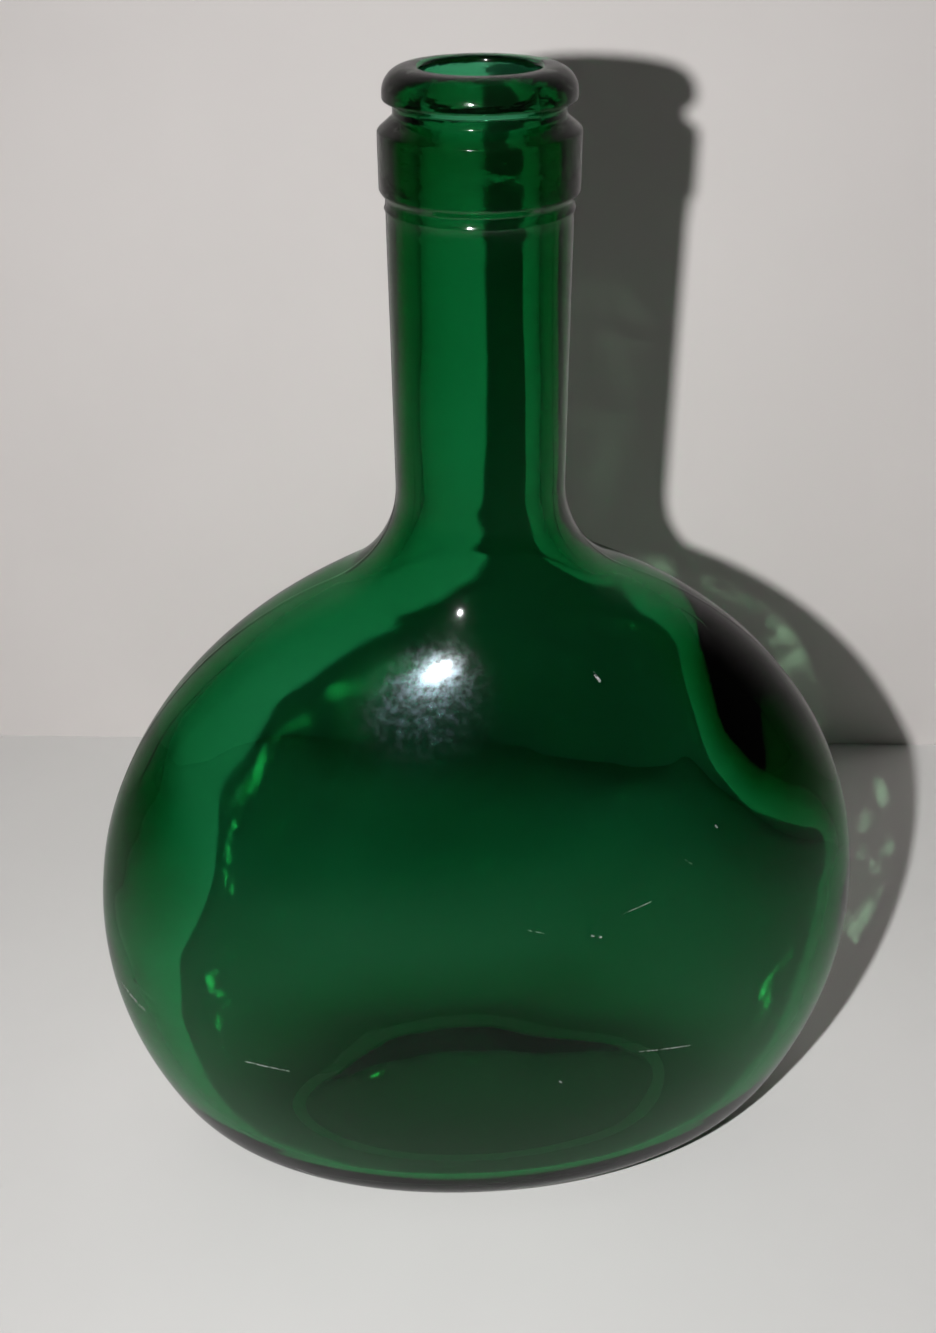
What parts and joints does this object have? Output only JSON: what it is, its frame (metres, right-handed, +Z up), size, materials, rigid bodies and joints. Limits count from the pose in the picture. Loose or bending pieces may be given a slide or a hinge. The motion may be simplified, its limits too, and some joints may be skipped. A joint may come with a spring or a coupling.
{
  "type": "wine bottle",
  "caption": "Empty flattened oval wine flask of clear green glass with a round neck, banded cork finish and open mouth.",
  "frame": {"origin": "centre of the standing ring, on the plane that the bottle stands on", "axes": "+Z up along the neck to the mouth, X across the wide oval, Y through its flat depth, with the front at -Y"},
  "size_m": [0.1528, 0.077, 0.218],
  "materials": {
    "bottle_glass": "clear green moulded glass, glossy"
  },
  "bodies": {
    "root": {"glass_bottle": "bottle_glass"}
  },
  "joints": []
}
